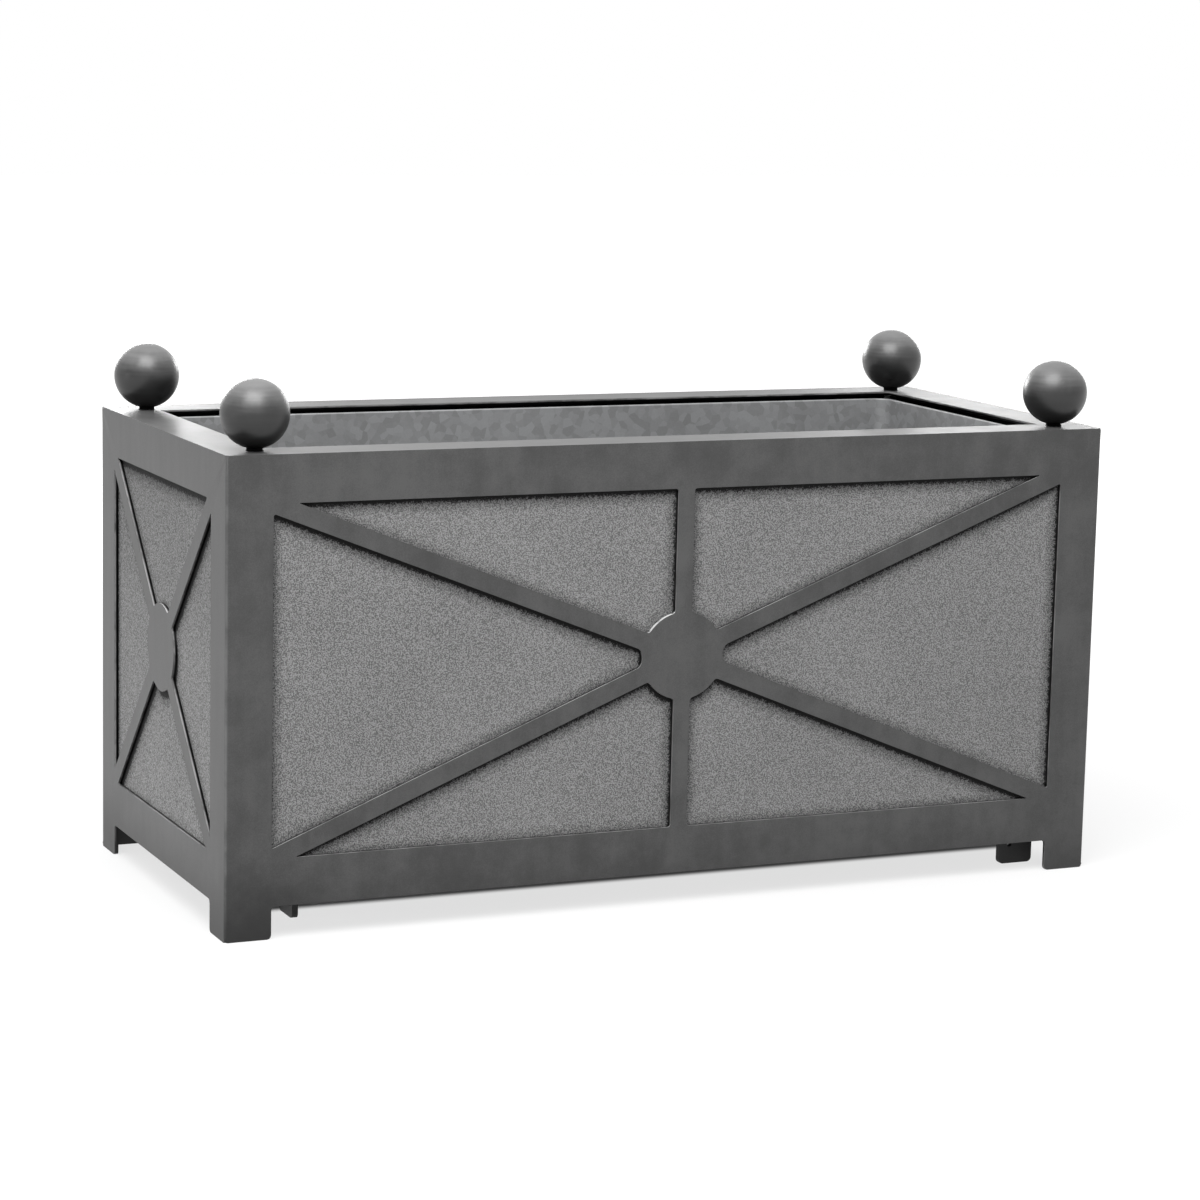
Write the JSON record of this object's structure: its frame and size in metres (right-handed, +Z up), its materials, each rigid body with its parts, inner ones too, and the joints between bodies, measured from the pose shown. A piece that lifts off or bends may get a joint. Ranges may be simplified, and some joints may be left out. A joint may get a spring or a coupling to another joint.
{
  "type": "metal planter box",
  "caption": "Rectangular metal planter box on short corner legs, with a strap lattice over recessed panels, ball finials on a flat ledge and a lift-out liner.",
  "frame": {"origin": "centre of the footprint, on the floor", "axes": "+X along the length to the right seen from the front, front face towards -Y, +Z up"},
  "size_m": [0.914, 0.406, 0.5155],
  "materials": {
    "frame": "satin dark grey",
    "panel": "granular grey",
    "finial": "satin dark grey",
    "liner": "dull galvanised grey",
    "undercarriage": "dull black",
    "hardware": "zinc plated"
  },
  "bodies": {
    "box": {"post_front_left": "frame", "post_front_right": "frame", "post_back_left": "frame", "post_back_right": "frame", "top_rail_front": "frame", "top_rail_back": "frame", "top_rail_left": "frame", "top_rail_right": "frame", "bottom_rail_front": "frame", "bottom_rail_back": "frame", "bottom_rail_left": "frame", "bottom_rail_right": "frame", "panel_front": "panel", "panel_back": "panel", "panel_left": "panel", "panel_right": "panel", "strap_front_upper_left": "frame", "strap_front_upper_mid": "frame", "strap_front_upper_right": "frame", "strap_front_lower_left": "frame", "strap_front_lower_mid": "frame", "strap_front_lower_right": "frame", "strap_back_upper_left": "frame", "strap_back_upper_mid": "frame", "strap_back_upper_right": "frame", "strap_back_lower_left": "frame", "strap_back_lower_mid": "frame", "strap_back_lower_right": "frame", "strap_left_upper_left": "frame", "strap_left_upper_right": "frame", "strap_left_lower_left": "frame", "strap_left_lower_right": "frame", "strap_right_upper_left": "frame", "strap_right_upper_right": "frame", "strap_right_lower_left": "frame", "strap_right_lower_right": "frame", "disc_front": "frame", "disc_back": "frame", "disc_left": "frame", "disc_right": "frame", "finial_front_left": "finial", "finial_front_right": "finial", "finial_back_left": "finial", "finial_back_right": "finial", "finial_studs": "hardware", "finial_washers": "hardware", "finial_nuts": "hardware", "bearer_left": "undercarriage", "bearer_middle": "undercarriage", "bearer_right": "undercarriage", "foot_front_left": "undercarriage", "foot_front_right": "undercarriage", "foot_back_left": "undercarriage", "foot_back_right": "undercarriage"},
    "lift_out_liner": {"liner": "liner"}
  },
  "joints": [
    {"name": "liner_lift", "type": "slide", "parent": "box", "child": "lift_out_liner", "axis": [0, 0, 1], "range_m": [0, 0.4]}
  ]
}
